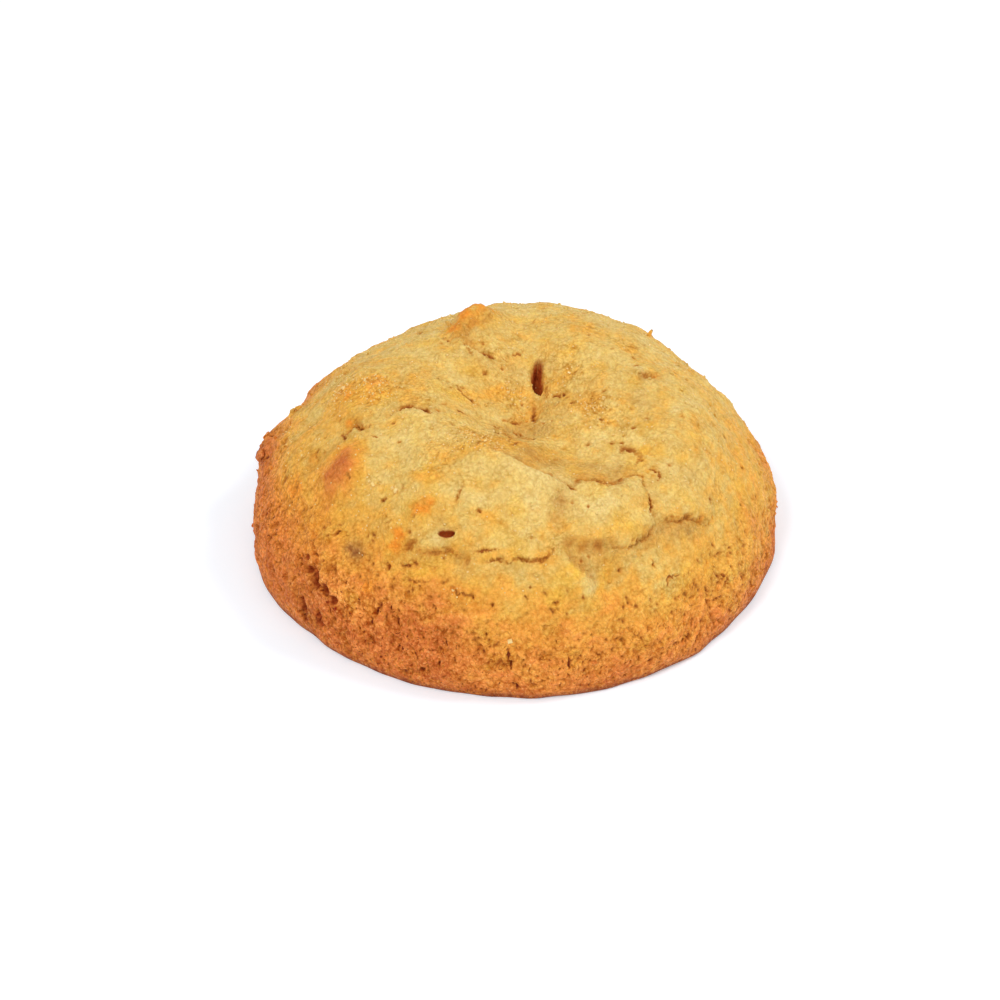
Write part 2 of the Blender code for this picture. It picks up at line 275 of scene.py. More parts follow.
# The foot's uneven edge, as (length, size, seed)
FOOT_HEIGHT = 4.5 * MM
FOOT_RIPPLES = [
    (15.0 * MM, 0.20 * MM, 81),
    (6.0 * MM, 0.13 * MM, 82),
]
# Heights over which the foot is painted darker, with browning and painted shade near the floor
FOOT_BROWN_AND_SHADE_HEIGHTS = (0.2 * MM, 1.8 * MM)

# The flat sole: an evenly browned middle within this share of its edge
SOLE_INSET = 0.96
SOLE_MASKS = {"brown": 0.9, "side": 0.35, "foot": 0.3}

SEED = 11

# Colours as they look under the studio light, 0 to 255
PALE_DOUGH = (240, 208, 130)
STRAW = (234, 194, 106)
GOLDEN = (240, 178, 75)
DEEP_GOLD = (241, 161, 62)
TOASTED = (236, 142, 61)
BROWNED = (217, 118, 51)
YELLOW = (240, 186, 66)
SUNNY = (228, 164, 56)
ORANGE = (244, 146, 40)
# The next colour: painted shade in hollows and beside folds, and one stain
SHADED_TAN = (200, 148, 72)
# Fold and crevice colours: browning, and painted shade where less light reaches into folds, cracks and pores
TOP_BROWN_SHADED_CREASE = (202, 134, 50)
TOP_BROWN_SHADED_CREVICE = (160, 88, 28)
BROWN_SHADED_CREASE = (206, 120, 38)
BROWN_SHADED_CREVICE = (128, 46, 12)
# The foot's colour and the openings' colour below: browning and painted shade
FOOT_BROWN_AND_SHADE = (140, 66, 36)
HOLE_BROWN_AND_SHADE = (172, 78, 26)
STAIN_BROWN = (158, 96, 42)
SUGAR = (250, 222, 156)
FLOOR = (238, 244, 250)
FLOOR_GLOW = 0.27

# The crust's colours from pale to browned, as (level, colour)
BROWNING_COLOURS = [
    (0.0, PALE_DOUGH), (0.22, STRAW), (0.42, GOLDEN), (0.62, DEEP_GOLD), (0.82, TOASTED), (1.0, BROWNED),
]

# The crust's textures by size, and the range in which nearly all of a noise lies
SAND = 0.85 * MM
GRANULES = 0.56 * MM
DUST = 0.28 * MM
SPECKS = 0.50 * MM
HAIRLINE_CELLS = 1.5 * MM
BLOTCHES = 2.4 * MM
NOISE_RANGE = (0.3, 0.7)

# How much of a change in painted light and shade goes to red, green and blue
LIGHT_AND_SHADE_TINTS = (0.75, 1.1, 1.7)

# How far the crust has browned, 0 pale to 1 dark, at heights above the sole
BROWN_HEIGHTS = (0.0, 4 * MM, 9 * MM, 14 * MM, 19 * MM, 24 * MM)
BROWN_LEVELS = (0.94, 0.80, 0.62, 0.46, 0.30, 0.22)
LEFT_BROWNING = 0.30
LEFT_BROWN_HEIGHTS = (10 * MM, 26 * MM)
BROWN_MOTTLES = [
    (10.0 * MM, 0.05, 41),
    (4.5 * MM, 0.06, 42),
    (1.7 * MM, 0.05, 43),
]

# Browner and paler areas as (place, spread, change); the browner spots beside the fold above the lump and
# just behind the dent's lip are painted shade
BROWN_AND_SHADE_SPOTS = [
    ((-42, -24.5), 2.6, 0.75), ((-44.5, -27.5), 2.6, 0.32), ((-49, -29.5), 3.0, 0.42), ((-42, -1), 5.0, 0.22),
    ((-82, 6), 4.0, 0.3), ((-82, -20), 5.0, 0.15), ((-44.5, -62.5), 1.8, 0.25), ((-78, -45), 6.0, 0.1),
    ((-72, -62), 5.0, 0.12), ((-23, -74), 5.0, 0.12), ((22, -33.5), 1.5, 0.3), ((16.5, -33.5), 1.3, 0.25),
    ((30, -29), 1.8, 0.2), ((-5, -20), 1.6, 0.18), ((0, -23.5), 2.0, 0.22), ((6, -27.5), 2.0, 0.22),
    ((21, -43), 4.0, -0.22), ((62, -45), 7.0, -0.08), ((45, -66), 6.0, -0.12), ((-20, -68), 3.5, 0.1),
    ((-52, -67), 5.0, -0.2), ((-30, -80), 5.0, 0.08), ((10, -36), 3.0, -0.18), ((1, -34), 4.0, -0.08),
    ((21, -65.5), 1.6, -0.3), ((-20, -53), 1.8, -0.22), ((-21, -19), 5.0, -0.08), ((43, -28), 2.2, -0.15),
    ((5, -46), 3.0, -0.1),
]

# How ragged patches are, with the length of the rags, and how strong seeded mottles are
PATCH_RAGGEDNESS = 0.45
PATCH_RAG = 1.6 * MM
MOTTLE_STRENGTH = 0.5

# Orange patches as (place, spread, strength)
ORANGE_SPOTS = [
    ((-22.5, -44), 1.6, 1.0), ((-26.5, -45.5), 1.2, 0.5), ((-30.5, -49.5), 1.3, 0.7), ((-32, -53), 1.5, 0.9),
    ((-35, -58.5), 1.2, 0.4), ((-44.5, -62.5), 1.5, 0.6), ((-15, 23.5), 1.8, 0.9), ((-11.5, 26.5), 2.0, 1.0),
    ((-7, 30), 2.0, 0.8), ((-42, 0.5), 2.0, 0.6), ((-41.5, -11), 1.6, 0.8), ((-53.5, -16), 1.5, 0.6),
    ((-62, -23), 1.5, 0.6), ((-68, -22), 6.0, 0.35), ((-52, -36), 5.0, 0.3), ((-38, -47), 4.0, 0.2),
    ((-62, -42), 4.0, 0.25), ((-29.5, 6.5), 1.6, 0.4), ((12, -13), 2.2, 0.35), ((8.5, -24), 1.8, 0.35),
    ((10, 17), 1.6, 0.35), ((13, 9.5), 2.0, 0.3), ((-4, 3.5), 2.2, 0.3), ((-9, -25), 1.8, 0.35),
    ((19.5, 26), 1.5, 0.25), ((30, 22.5), 1.8, 0.2), ((35.5, -29), 0.9, 0.8), ((36, 6.5), 1.0, 0.6),
    ((53.5, -38.5), 1.5, 0.5), ((57.5, -49.5), 2.2, 0.4), ((55, -60.5), 2.2, 0.4), ((27.5, -61.5), 1.5, 0.4),
    ((-39.5, -23.5), 1.3, 0.35), ((-13, -71), 2.5, 0.3),
]
ORANGE_MOTTLES = (3.0 * MM, 1.6, 3.0, 51)

# Yellow patches as (place, spread, strength)
YELLOW_SPOTS = [
    ((-48.5, -38.5), 1.6, 0.6), ((-25.5, -61.5), 2.0, 0.9), ((15, -62.5), 1.5, 0.9), ((12.5, -68), 2.0, 0.6),
    ((1, -47.5), 2.0, 0.3), ((30, -47), 2.0, 0.5), ((-17, -48.5), 1.6, 0.5), ((-32.5, -5.5), 2.0, 0.5),
    ((-17, 0), 2.0, 0.4), ((-11.5, 9.5), 2.0, 0.5), ((-4, -22), 1.6, 0.4), ((42.5, -23.5), 1.3, 0.8),
    ((32.5, -21), 1.5, 0.6), ((15.5, 18), 2.0, 0.4), ((-16.5, -58), 1.5, 0.4), ((-47, -21), 1.3, 0.4),
]
YELLOW_MOTTLES = (3.6 * MM, 0.2, 1.5, 53)

# Duller yellow-brown patches as (place, spread, strength): painted shade in hollows, and one stain
TAN_AND_SHADE_SPOTS = [
    ((0, -13), 3.5, 0.5), ((11.5, -42), 1.7, 0.6), ((41.5, -45.5), 2.0, 0.6), ((47, -43.5), 1.8, 0.6),
    ((52, -42.5), 1.4, 0.4), ((36.5, -50), 1.5, 0.5), ((-14, -61), 1.6, 0.5), ((-26, -55), 1.6, 0.4),
    ((-19.5, -49), 1.2, 0.5), ((10, -26), 2.5, 0.6), ((19.5, -28), 2.5, 0.5), ((26, -28.5), 2.0, 0.4),
    ((3.5, -26), 2.5, 0.7), ((-43, -15.5), 0.9, 0.8), ((-46.2, -50.8), 1.2, 1.0), ((17, -1), 3.0, 0.4),
    ((4, -6), 3.0, 0.5), ((2, -10), 3.0, 0.3), ((31.5, -4), 3.0, 0.35), ((45.5, -25.5), 3.0, 0.35),
    ((-9, 11), 2.0, 0.4), ((-1.5, 11.5), 2.0, 0.5), ((23.5, -57.5), 2.5, 0.25), ((-16.5, -51.5), 2.0, 0.3),
]

# Dark stains as (place, spread, strength)
STAINS = [
    ((-45.8, -51.2), 1.3, 0.8), ((-46.8, -48.7), 1.0, 0.45), ((-74.5, -60), 2.2, 0.25),
]

# Golden, grainy areas where sugar has baked into the crust, as (place, spread, strength)
GRAINY_SPOTS = [
    ((-10.5, -22), 3.5, 1.0), ((-6, -27.5), 2.5, 0.8), ((-19, -30), 3.0, 0.6), ((-2, 4.5), 2.8, 0.9),
    ((20, -4), 3.2, 0.9), ((12, 13), 2.2, 0.7), ((15, 8), 2.5, 0.8), ((15.5, 18), 2.0, 0.6),
    ((-37.5, 2), 3.0, 1.0), ((-45, 4.5), 2.5, 0.8), ((-33.5, -3.5), 2.5, 0.8), ((25, -10), 3.0, 0.6),
    ((19.5, 26), 2.2, 0.5), ((28.5, 21.5), 2.2, 0.5), ((-6, 16.5), 2.0, 0.5), ((-4, -15), 3.0, 0.5),
    ((6.5, -18.5), 3.0, 0.4), ((-24, -2), 4.0, 0.4), ((-55, -74), 8.0, 0.6), ((-32, -88), 6.0, 0.6),
    ((-80, -22), 6.0, 0.5),
]
GRAINY_MOTTLES = (4.5 * MM, 0.4, 1.8, 55)

# Sugar: where it lies thickest, as (place, spread, weight), and its grains
SUGAR_SPOTS = [
    ((-10.5, -22), 3.5, 6.0), ((-6, -28), 2.5, 4.0), ((-37.5, 2), 2.5, 6.0), ((-33.5, -3.5), 2.5, 3.0),
    ((-46, 4), 2.0, 5.0), ((19, -4.5), 3.0, 5.0), ((23, -3.5), 2.0, 4.0), ((27.5, -13), 2.0, 4.0),
    ((-1, 5.5), 2.5, 4.0), ((10.5, 7), 2.0, 3.0), ((11.5, -31.5), 1.5, 3.0), ((-36, -34), 1.3, 4.0),
    ((-30, -37.5), 1.3, 4.0), ((-21, -29), 1.8, 3.0), ((-17.5, -68), 1.0, 4.0),
]
SUGAR_EVERYWHERE = 0.4
SUGAR_GRAINS = 1200
SUGAR_SIZES = (0.09 * MM, 0.22 * MM)

# Larger sugar crystals as (place, size)
CRYSTALS = [
    ((-36, -34), 0.45), ((-36.5, -32.5), 0.35), ((-30, -37.5), 0.5), ((-31, -36), 0.35), ((-18, -68), 0.4),
    ((-2, -84.5), 0.55), ((-44, 5), 0.4), ((-37, 3), 0.35), ((-35, -3), 0.35), ((-33, 0), 0.3),
    ((-2, 5), 0.35), ((-0.5, 3.5), 0.3), ((19, -5), 0.35), ((22.5, -3), 0.35), ((-10, -23), 0.35),
    ((-12, -21), 0.3), ((-7, -27), 0.35), ((14, 9), 0.3),
]
SUGAR_STRAYING = 0.12 * MM
SUGAR_HEIGHTS = (13 * MM, 25 * MM)
SUGAR_ABOVE = 3 * MM
GRAIN_WIDTHS = (0.7, 1.3)
GRAIN_SKEW = 0.06
GRAIN_TILT = 0.5

# How far the middles of grains and crumbs stand off the crust, for their height
STANDING_OUT = 0.2

# A block's faces by its corners, which are counted along X, then Y, then Z
BLOCK_FACES = [(0, 2, 3, 1), (4, 5, 7, 6), (0, 1, 5, 4), (2, 6, 7, 3), (0, 4, 6, 2), (1, 3, 7, 5)]

# Crumbs stuck on the crust: some at named places as (place, width, height), and the rest scattered
NAMED_CRUMBS = [
    ((36.5, 34.5), 0.6, 1.5), ((-16.5, 27), 0.6, 1.4), ((-66, 16), 1.2, 1.0), ((-63, 15), 0.8, 1.0),
    ((-44, 14), 0.8, 0.8), ((-78.5, 17), 1.2, 0.5), ((-81, 9), 1.5, 0.4),
]
CRUMB_FLATNESS = 0.8
CRUMBS = 380
CRUMBS_ABOVE = 2 * MM
CRUMB_WIDTHS = (0.75, 1.25)
CRUMB_LUMPINESS = 0.5
CRUMB_LUMP = 0.9
CRUMB_BROWNING = 0.06
CRUMB_SIZES = (0.22 * MM, 0.52 * MM)

# The floor's half width, and the gap between it and the sole
FLOOR_REACH = 2.0
FLOOR_GAP = 0.05 * MM

# Soft light from all round, and from two soft boxes, as (place, power)
WORLD_LIGHT = 0.595
SOFT_BOXES = [((0.46, 0.06, 0.60), 1.6), ((-0.24, -0.42, 0.62), 2.05)]
SOFT_BOX_WIDTH = 0.25

# Camera, as in the photograph
CAMERA_TARGET = (-2.2 * MM, 0.0, 6.3 * MM)
CAMERA_ELEVATION = math.radians(37)
CAMERA_DISTANCE = 0.625
CAMERA_LENS = 150


def dome(right, back):
    """The point of the plain dome at each place of the map, and the skin's outward direction there."""
    reach = np.hypot(right, back)
    turn = np.arctan2(back, right)
    over = np.clip(reach, 0, 1) * math.pi / 2
    under = np.clip((reach - 1) / (SOLE_REACH - 1), 0, 1) * math.pi / 2
    rise = DOME_HEIGHT - BULGE_HEIGHT
    overhang = BULGE_RADIUS - SOLE_RADIUS

    above = reach <= 1
    under_radius = SOLE_RADIUS + overhang * np.cos(under) ** EDGE_SQUARENESS
    under_height = BULGE_HEIGHT * (1 - np.sin(under) ** (1 / EDGE_SQUARENESS))
    radius = np.where(above, BULGE_RADIUS * np.sin(over), under_radius)
    height = np.where(above, BULGE_HEIGHT + rise * np.cos(over), under_height)
    outward = np.where(above, rise * np.sin(over), np.cos(under))
    upward = np.where(above, BULGE_RADIUS * np.cos(over), -np.sin(under))
    length = np.hypot(outward, upward)

    for count, share, start in OUTLINE_LOBES:
        radius = radius * (1 + share * np.cos(count * (turn - math.radians(start))))
    points = np.stack([radius * np.cos(turn), radius * np.sin(turn), height], axis=-1)
    normals = np.stack([outward * np.cos(turn), outward * np.sin(turn), upward], axis=-1)
    return points, normals / length[..., None]


def skin_places(places):
    """The plain dome's points at places of the lists."""
    points, _ = dome(*np.array(places, dtype=float).T * HUNDREDTH)
    return points


def near_path(points, normals, path):
    """Each point's distance from a path, its share of the way along, and 1 if right of it or -1 if left."""
    stops = skin_places(path)
    if len(stops) == 1:
        return np.linalg.norm(points - stops[0], axis=1), np.full(len(points), 0.5), np.zeros(len(points))
    lengths = np.linalg.norm(np.diff(stops, axis=0), axis=1)
    distance = np.full(len(points), np.inf)
    share, side = np.zeros((2, len(points)))
    for number, (start, end) in enumerate(zip(stops, stops[1:])):
        along = end - start
        part = np.clip((points - start) @ along / (along @ along), 0, 1)
        gap = points - start - part[:, None] * along
        gap_length = np.linalg.norm(gap, axis=1)
        nearer = gap_length < distance
        distance = np.where(nearer, gap_length, distance)
        gone = lengths[:number].sum() + part * lengths[number]
        share = np.where(nearer, gone / lengths.sum(), share)
        facing = (np.cross(gap, along) * normals).sum(axis=1)
        side = np.where(nearer, np.sign(facing), side)
    return distance, share, side


def ripple(points, length, seed):
    """Smooth random unevenness of about this length, mostly between -1 and 1 and seldom past 2."""
    random = np.random.default_rng(seed)
    directions = random.normal(size=(RIPPLE_WAVES, 3))
    directions /= np.linalg.norm(directions, axis=1)[:, None]
    lengths = length * random.uniform(*RIPPLE_LENGTHS, RIPPLE_WAVES)
    turns = random.uniform(0, 2 * math.pi, RIPPLE_WAVES)
    waves = np.sin(points @ directions.T * 2 * math.pi / lengths + turns)
    return waves.sum(axis=1) / math.sqrt(RIPPLE_WAVES)


def bell(distance, width):
    """1 where the distance is 0, falling softly to nothing beyond the width."""
    return np.exp(-((distance / width) ** 2))


def spots(points, places):
    """The sum of soft round spots, each (place, spread, strength)."""
    total = np.zeros(len(points))
    for place, spread, strength in places:
        distance = np.linalg.norm(points - skin_places(place), axis=1)
        total += strength * bell(distance, spread * MM)
    return total


def smooth(value, low, high):
    """0 below low and 1 above high, with a smooth rise between."""
    share = np.clip((value - low) / (high - low), 0, 1)
    return share * share * (3 - 2 * share)


def patchiness(points, length, low, high, seed):
    """0 to 1, rising as seeded unevenness of this length goes from low to high."""
    return smooth(ripple(points, length, seed), low, high)


def wobbled(points):
    """The points moved a little at random, so that lines drawn by them stray."""
    moved = points.copy()
    for size, length in WOBBLES:
        for axis in range(3):
            moved[:, axis] += size * ripple(points, length, SEED + axis)
    return moved


def raggedness(points):
    """How far folds and cracks open at each point, about 1 on average."""
    opened = np.ones(len(points))
    for length, share in RAGGED:
        opened += share * ripple(points, length, SEED + 9)
    return np.clip(opened, *RAGGED_RANGE)


def taper(share, ends=0.0):
    """1 midway along a path, falling to this much at its ends."""
    return ends + (1 - ends) * np.sqrt(4 * share * (1 - share))


def folds_lift(points, normals):
    """The lift by the folds, how brown and shaded each point is painted in them, and how far it lies in a
    valley beside one.
    """
    lift, brown, valley = np.zeros((3, len(points)))
    ragged = raggedness(points)
    for path, *sizes, toast in FOLDS:
        width, depth, swell = np.array(sizes) * MM
        distance, share, side = near_path(points, normals, path)
        open_part = taper(share)
        groove = open_part * bell(distance, width * np.sqrt(ragged))
        lift -= depth * groove
        brown = np.maximum(brown, toast * groove * ragged)
        rise = 0.5 + 0.5 * np.tanh(side * distance / STEP_WIDTH)
        swollen = rise if swell > 0 else 1 - rise
        lift += abs(swell) * open_part * swollen * bell(distance, FOLD_SPREAD)
        beside = open_part * (1 - swollen) * bell(distance, VALLEY_WIDTH)
        valley = np.maximum(valley, min(1.0, abs(swell) / VALLEY_SWELL) * beside)
    return lift, brown, valley


def openings_lift(points, normals):
    """The lift by the steep openings, and how far inside one each point is, 0 to 1, for its browning and
    painted shade.
    """
    lift, brown = np.zeros((2, len(points)))
    for path, *sizes in OPENINGS:
        width, depth = np.array(sizes) * MM
        distance, share, _ = near_path(points, normals, path)
        inside = np.exp(-((distance / (width * taper(share, OPENING_ENDS))) ** OPENING_STEEPNESS))
        lift -= depth * inside
        brown = np.maximum(brown, np.clip(OPENING_BROWNING_AND_SHADE * inside, 0, 1))
    return lift, brown


def cracks_lift(points, normals):
    """The lift by hairline cracks and small holes, and how brown and shaded each point is painted in them, 0
    to 1.
    """
    lift, brown = np.zeros((2, len(points)))
    ragged = raggedness(points)
    for path, wide, toast in CRACKS:
        width = wide * MM * CRACK_NARROWING
        distance, share, _ = near_path(points, normals, path)
        groove = toast * taper(share, CRACK_ENDS) * np.sqrt(ragged) * bell(distance, width)
        lift -= CRACK_DEEPNESS * width * groove
        brown = np.maximum(brown, np.clip(CRACK_BROWNING_AND_SHADE * groove, 0, 1))
    for place in HOLES:
        distance, _, _ = near_path(points, normals, [place])
        pit = bell(distance, HOLE_RADIUS)
        lift -= HOLE_DEPTH * pit
        brown = np.maximum(brown, pit)
    return lift, brown


def lowness(points, heights=LOW_HEIGHTS):
    """1 below the first height, falling to 0 at the second."""
    return 1 - smooth(points[:, 2], *heights)


def leftness(points):
    """1 on the cookie's left side, 0 elsewhere."""
    return smooth(-points[:, 0] - LEFT_TURN * points[:, 1], *LEFT_REACH)


def sidedness(points):
    """How much of the fine pores and crackle of the sides a point has, 0 to 1."""
    left = LEFT_PORES * leftness(points) * lowness(points, LEFT_HEIGHTS)
    return np.clip(lowness(points) + left, 0, 1)


def cell_distances(points, count, random):
    """For cells round seeded points: how much nearer each point's own middle is than the next one, and how
    far out in its cell the point lies, 0 in the middle to 0.5 at the edge."""
    cells = random.choice(EVEN_POINTS, count, replace=False)
    tree = KDTree(count)
    for number, cell in enumerate(cells):
        tree.insert(points[cell], number)
    tree.balance()
    edge, reach = np.empty((2, len(points)))
    for number, point in enumerate(wobbled(points)):
        (_, _, first), (_, _, second) = tree.find_n(point, 2)
        edge[number] = second - first
        reach[number] = first / (first + second)
    return edge, reach


def lumps_lift(points):
    """Rounded lumps with soft valleys between them."""
    lift = np.zeros(len(points))
    for count, height, seed in LUMPS:
        _, reach = cell_distances(points, count, np.random.default_rng(seed))
        lift += height * (1 - 4 * reach**2)
    return lift


def crackle_lift(points, random):
    """Cracks between small cells, strongest low on the sides."""
    edge, reach = cell_distances(points, CRACKLE_CELLS, random)
    strength = CRACKLE_ON_TOP + (1 - CRACKLE_ON_TOP) * sidedness(points)
    domes = CRACKLE_DOME * strength * (1 - 4 * reach**2)
    for patch in CRACKLE_PATCHES:
        strength = strength * patchiness(points, *patch)
    crack = bell(edge, CRACKLE_WIDTH) * strength
    return domes - CRACKLE_DEPTH * crack, crack


def picked(weight, count, random):
    """The numbers of some of the even grid's points, each at most once, likelier where weight is high."""
    share = weight[:EVEN_POINTS] / weight[:EVEN_POINTS].sum()
    return random.choice(EVEN_POINTS, count, replace=False, p=share)


def pores_lift(points, normals, random):
    """Small pits, long ones too, thick low on the sides and thin on top, and their painted shade."""
    patchy = patchiness(points, *PORE_PATCHES)
    weight = (PORES_ON_TOP + sidedness(points)) * (PORES_BETWEEN_PATCHES + patchy)
    weight[points[:, 2] < PORES_ABOVE] = 0
    tree = KDTree(len(points))
    for number, point in enumerate(points):
        tree.insert(point, number)
    tree.balance()
    lift, brown = np.zeros((2, len(points)))
    for count, smallest, largest, deepness, longest in PORES:
        middles = picked(weight, count, random)
        radii = random.uniform(smallest, largest, count)
        stretches = random.uniform(1, longest, count)
        tilts = random.normal(size=(count, 3))
        tilts[:, 2] += PORE_UPRIGHTNESS
        shades = random.uniform(*PORE_SHADES, count)
        for middle, radius, stretch, tilt, shade in zip(middles, radii, stretches, tilts, shades):
            found = tree.find_range(points[middle], radius * stretch * PORE_REACH)
            near = np.array([index for _, index, _ in found])
            gap = points[near] - points[middle]
            along = tilt - normals[middle] * (tilt @ normals[middle])
            along /= np.linalg.norm(along)
            length = gap @ along
            squared = (gap * gap).sum(axis=1) - length**2 * (1 - 1 / stretch**2)
            pit = np.exp(-squared / radius**2)
            lift[near] -= radius * deepness * pit
            brown[near] = np.maximum(brown[near], shade * pit)
    return lift, brown


def browning(points):
    """How far the crust has browned at each point."""
    level = np.interp(points[:, 2], BROWN_HEIGHTS, BROWN_LEVELS)
    level += LEFT_BROWNING * leftness(points) * lowness(points, LEFT_BROWN_HEIGHTS)
    level += spots(points, BROWN_AND_SHADE_SPOTS)
    for length, strength, seed in BROWN_MOTTLES:
        level += strength * ripple(points, length, seed)
    return level


def patches(points, places, mottles=None):
    """A mask of named spots with ragged edges, and of seeded mottles."""
    mask = spots(points, places) * (1 + PATCH_RAGGEDNESS * ripple(points, PATCH_RAG, SEED + 6))
    if mottles:
        mask += MOTTLE_STRENGTH * patchiness(points, *mottles)
    return np.clip(mask, 0, 1)


def grown_skin(right, back):
    """The crust's points, its plain points, and its masks by name."""
    random = np.random.default_rng(SEED)
    plain, normals = dome(right, back)
    strayed = wobbled(plain)
    lift = MM * spots(plain, MASSES)
    for length, height, seed in RIPPLES:
        lift += height * ripple(plain, length, seed)
    fold, fold_brown_and_shade, valley = folds_lift(strayed, normals)
    opening, opening_shade_and_brown = openings_lift(plain, normals)
    crack, crack_brown_and_shade = cracks_lift(strayed, normals)
    crackle, crackle_brown_and_shade = crackle_lift(plain, random)
    pore, pore_shade = pores_lift(plain, normals, random)
    lift += fold + opening + crack + crackle + pore + lumps_lift(plain)
    for length, width, depth, seed, patch_seed in FURROWS:
        patchy = patchiness(plain, *FURROW_PATCHES, patch_seed)
        lift -= depth * patchy * bell(ripple(plain, length, seed), width)
    low = lowness(plain)
    for length, top_height, side_height, seed in GRAIN:
        lift += (top_height + (side_height - top_height) * low) * ripple(plain, length, seed)
    lift += random.normal(scale=ROUGHNESS, size=len(lift))
    lift *= np.clip(plain[:, 2] / BULGE_HEIGHT, 0, 1)
    points = plain + normals * lift[:, None]
    foot = lowness(plain, (0.0, FOOT_HEIGHT))
    for length, size, seed in FOOT_RIPPLES:
        points[:, :2] *= 1 + (size / SOLE_RADIUS * foot * ripple(plain, length, seed))[:, None]
    # Browning and painted shade in folds, cracks, crackle and pores
    crease_browns_and_shades = np.stack([fold_brown_and_shade, crack_brown_and_shade, CRACKLE_BROWNING_AND_SHADE * crackle_brown_and_shade, pore_shade])
    masks = {
        "brown": browning(plain),
        "orange": patches(plain, ORANGE_SPOTS, ORANGE_MOTTLES),
        "yellow": patches(plain, YELLOW_SPOTS, YELLOW_MOTTLES),
        "tan": np.clip(patches(plain, TAN_AND_SHADE_SPOTS) + VALLEY_SHADE * valley, 0, 1),
        "grainy": patches(plain, GRAINY_SPOTS, GRAINY_MOTTLES),
        "crease": np.clip(crease_browns_and_shades.max(axis=0), 0, 1),
        "hole": opening_shade_and_brown,
        "stain": patches(plain, STAINS),
        "side": sidedness(plain),
        # Browning and painted shade just above the floor
        "foot": lowness(plain, FOOT_BROWN_AND_SHADE_HEIGHTS),
    }
    return points, plain, masks


def map_grid():
    """An even square grid pressed into a round map, as (right, back) of each of its points, row by row."""
    steps = np.linspace(-1, 1, SQUARES_ACROSS + 1)
    across, along = (axis.ravel() for axis in np.meshgrid(steps, steps))
    wide = np.abs(across) > np.abs(along)
    ring = np.where(wide, across, along)
    safe = np.where(ring == 0, 1, ring)
    turn = np.where(wide, along / safe, 2 - across / safe) * math.pi / 4
    reach = SOLE_REACH * ring
    return reach * np.cos(turn), reach * np.sin(turn)


def near_lines(right, back, reach):
    """Which places of the map lie within reach of a fold, crack, hole or opening."""
    points, normals = dome(right, back)
    paths = [path for path, width, *_ in FOLDS if width * MM < NARROW_FOLD]
    paths += [path for path, *_ in CRACKS + OPENINGS] + [[place] for place in HOLES]
    near = np.zeros(len(points), bool)
    for path in paths:
        distance, _, _ = near_path(points, normals, path)
        near |= distance < reach
    return near


def grid_numbers():
    """The numbers of the even grid's points, row by row."""
    return np.arange(EVEN_POINTS).reshape(SQUARES_ACROSS + 1, SQUARES_ACROSS + 1)


def skin_map():
    """A flat mesh of the map: an even grid, cut finer near the lines."""
    bm = bmesh.new()
    right, back = map_grid()
    verts = [bm.verts.new((x, y, 0)) for x, y in zip(right.tolist(), back.tolist())]
    bm.verts.index_update()
    index = grid_numbers()
    corners = [part.ravel() for part in (index[:-1, :-1], index[:-1, 1:], index[1:, 1:], index[1:, :-1])]
    for square in np.stack(corners, axis=1).tolist():
        bm.faces.new([verts[corner] for corner in square])
    for reach in FINER_REACHES:
        right, back, _ = np.array([vert.co for vert in bm.verts]).T
        near = near_lines(right, back, reach)
        edges = [edge for edge in bm.edges if all(near[vert.index] for vert in edge.verts)]
        bmesh.ops.subdivide_edges(bm, edges=edges, cuts=1, use_grid_fill=True)
        bm.verts.index_update()
    return bm


def sole_ring():
    """The grid's outer points in order, seen from below."""
    index = grid_numbers()
    around = np.concatenate([index[0, :-1], index[:-1, -1], index[-1, :0:-1], index[:0:-1, 0]])
    return around[::-1]


def with_sole(points, faces, masks):
    """The crust's points, faces and masks with the flat sole added, which is even inside its edge."""
    edge = sole_ring()
    inside = len(points) + np.arange(len(edge))
    band = np.stack([edge, np.roll(edge, -1), np.roll(inside, -1), inside], axis=1)
    joined = {}
    for name, values in masks.items():
        joined[name] = np.append(values, np.full(len(edge), SOLE_MASKS.get(name, 0.0)))
    sole = points[edge] * (SOLE_INSET, SOLE_INSET, 1)
    return np.concatenate([points, sole]), faces + band.tolist() + [inside.tolist()], joined


def new_piece(name, points, faces, masks, material):
    """A shaded piece that rides with the cookie, with its masks as attributes of its points."""
    mesh = bpy.data.meshes.new(name)
    mesh.from_pydata(points.tolist(), [], faces)
    for mask_name, values in masks.items():
        attribute = mesh.attributes.new(mask_name, "FLOAT", "POINT")
        attribute.data.foreach_set("value", values.astype(np.float32))
    mesh.materials.append(material)
    mesh.shade_smooth()
    piece = bpy.data.objects.new(name, mesh)
    bpy.context.scene.collection.objects.link(piece)
    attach(piece, "root")
    return piece


def linear(colour):
    """A 0 to 255 screen colour as the light it stands for."""
    share = np.array(colour) / 255
    light = np.where(share <= 0.04045, share / 12.92, ((share + 0.055) / 1.055) ** 2.4)
    return (*light, 1.0)


